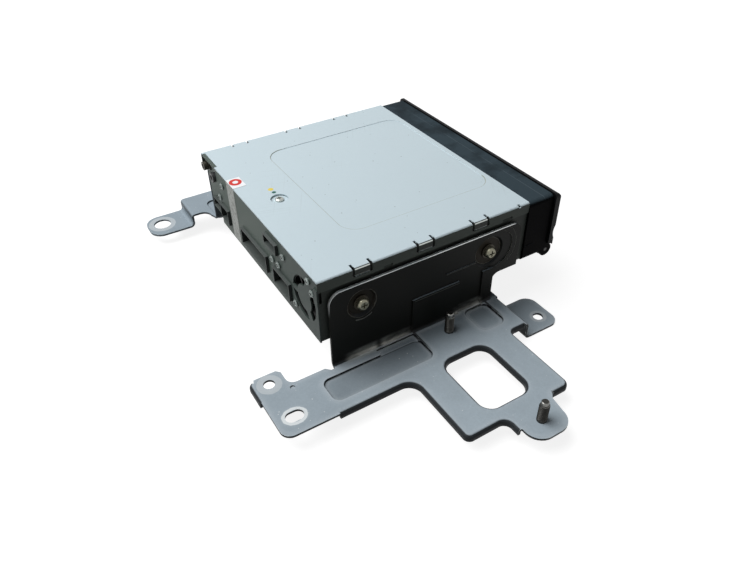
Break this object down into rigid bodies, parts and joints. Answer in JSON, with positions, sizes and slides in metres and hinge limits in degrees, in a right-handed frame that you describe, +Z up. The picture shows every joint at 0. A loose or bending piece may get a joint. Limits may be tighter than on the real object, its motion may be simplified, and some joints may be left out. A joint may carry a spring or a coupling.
{
  "type": "car navigation dvd drive",
  "caption": "Flat steel disc drive for a car navigation set, with a fold-down plastic front, rear sockets and fan, and stamped mounting brackets on both sides.",
  "frame": {"origin": "middle of the flat underside of the steel case", "axes": "+X across the case towards the bracket with the stepped foot, -Y towards the front door, +Z up, away from the underside"},
  "size_m": [0.3321, 0.222, 0.0775],
  "materials": {
    "galvanised": "dull grey galvanised sheet",
    "cover_steel": "smooth pale zinc coated sheet",
    "bracket_steel": "grey passivated stamping, satin",
    "drive_steel": "bright plated sheet",
    "cast_metal": "die cast",
    "rail_steel": "ground",
    "zinc": "zinc plated",
    "brass": "plain",
    "black_plastic": "fine matte black",
    "grey_plastic": "matte dark grey",
    "gear_plastic": "natural",
    "clear_lens": "polished",
    "board": "solder mask",
    "chip": "moulded epoxy",
    "ribbon": "film",
    "paper": "printed paper",
    "felt": "felt",
    "rubber": "soft"
  },
  "bodies": {
    "chassis": {"chassis_tray": "galvanised", "rear_panel": "galvanised", "top_cover": "cover_steel", "cover_screw": "zinc", "cover_post": "zinc", "seal_label": "paper", "front_plate": "galvanised", "front_bezel": "black_plastic", "door_hinge_pins": "zinc", "slot_felt": "felt", "status_lens": "clear_lens", "front_board": "board", "front_ribbon": "ribbon", "main_board": "board", "board_screws": "zinc", "board_parts": "chip", "shield_can": "zinc", "main_connector": "grey_plastic", "second_connector": "grey_plastic", "left_connector": "grey_plastic", "low_connector": "grey_plastic", "small_connector": "grey_plastic", "riser_board": "board", "riser_posts": "zinc", "connector_pins": "brass", "antenna_jack": "brass", "round_jack": "black_plastic", "fan_frame": "black_plastic", "rear_screws": "zinc", "drive_base": "drive_steel", "rubber_dampers": "rubber", "damper_screws": "zinc", "spindle_motor": "zinc", "guide_rails": "rail_steel", "sled_motor": "zinc", "gear_pins": "rail_steel", "loading_motor": "zinc", "disc_guide": "gear_plastic", "clamp_pivot": "rail_steel", "left_bracket": "bracket_steel", "right_bracket": "bracket_steel", "weld_studs": "zinc", "bracket_screws": "zinc", "weld_nuts": "zinc"},
    "door": {"front_door": "black_plastic"},
    "eject_key": {"eject_button": "black_plastic"},
    "fan_wheel": {"fan_rotor": "black_plastic"},
    "spindle": {"turntable": "black_plastic"},
    "sled": {"optical_pickup": "cast_metal"},
    "lens": {"objective_lens": "clear_lens"},
    "sled_wheel": {"sled_gear": "gear_plastic"},
    "sled_drive": {"sled_pinion": "brass"},
    "roller": {"feed_roller": "rubber", "roller_gear": "gear_plastic"},
    "idler": {"idler_gear": "gear_plastic"},
    "loader": {"loading_pinion": "brass"},
    "clamp": {"clamp_arm": "drive_steel"},
    "puck": {"disc_clamp": "black_plastic"}
  },
  "joints": [
    {"name": "door_hinge", "type": "hinge", "parent": "chassis", "child": "door", "pos_m": [0, -0.0969, 0.0012], "axis": [1, 0, 0], "range_deg": [0, 90]},
    {"name": "eject_press", "type": "slide", "parent": "chassis", "child": "eject_key", "axis": [0, 1, 0], "range_m": [0, 0.0012], "stiffness_N_per_m": 300},
    {"name": "fan_spin", "type": "hinge", "parent": "chassis", "child": "fan_wheel", "pos_m": [-0.071, 0.07, 0.0221], "axis": [0, 1, 0], "continuous": true},
    {"name": "turntable_spin", "type": "hinge", "parent": "chassis", "child": "spindle", "pos_m": [0, -0.008, 0.02], "axis": [0, 0, 1], "continuous": true},
    {"name": "sled_slide", "type": "slide", "parent": "chassis", "child": "sled", "axis": [1, 0, 0], "range_m": [0, 0.034]},
    {"name": "lens_focus", "type": "slide", "parent": "sled", "child": "lens", "axis": [0, 0, 1], "range_m": [-0.0005, 0.0005], "stiffness_N_per_m": 50},
    {"name": "sled_gear_spin", "type": "hinge", "parent": "chassis", "child": "sled_wheel", "pos_m": [0.03, -0.0322, 0.014], "axis": [0, 0, 1], "range_deg": [-324.7, 0]},
    {"name": "sled_pinion_spin", "type": "hinge", "parent": "chassis", "child": "sled_drive", "pos_m": [0.03771, -0.04139, 0.014], "axis": [0, 0, 1], "range_deg": [0, 974.1]},
    {"name": "roller_spin", "type": "hinge", "parent": "chassis", "child": "roller", "pos_m": [0, -0.062, 0.0223], "axis": [1, 0, 0], "continuous": true},
    {"name": "idler_spin", "type": "hinge", "parent": "chassis", "child": "idler", "pos_m": [-0.074, -0.05261, 0.01832], "axis": [1, 0, 0], "continuous": true},
    {"name": "loader_spin", "type": "hinge", "parent": "chassis", "child": "loader", "pos_m": [-0.074, -0.04488, 0.01503], "axis": [1, 0, 0], "continuous": true},
    {"name": "clamp_lift", "type": "hinge", "parent": "chassis", "child": "clamp", "pos_m": [0, 0.046, 0.0335], "axis": [1, 0, 0], "range_deg": [0, 2.8]},
    {"name": "puck_spin", "type": "hinge", "parent": "clamp", "child": "puck", "pos_m": [0, -0.008, 0.033], "axis": [0, 0, 1], "continuous": true}
  ],
  "couplings": [
    {"joint": "sled_gear_spin", "follows": "sled_slide", "rad_per_m": -166.67},
    {"joint": "sled_pinion_spin", "follows": "sled_slide", "rad_per_m": 500},
    {"joint": "idler_spin", "follows": "roller_spin", "ratio": -1.125},
    {"joint": "loader_spin", "follows": "roller_spin", "ratio": 1.5}
  ]
}
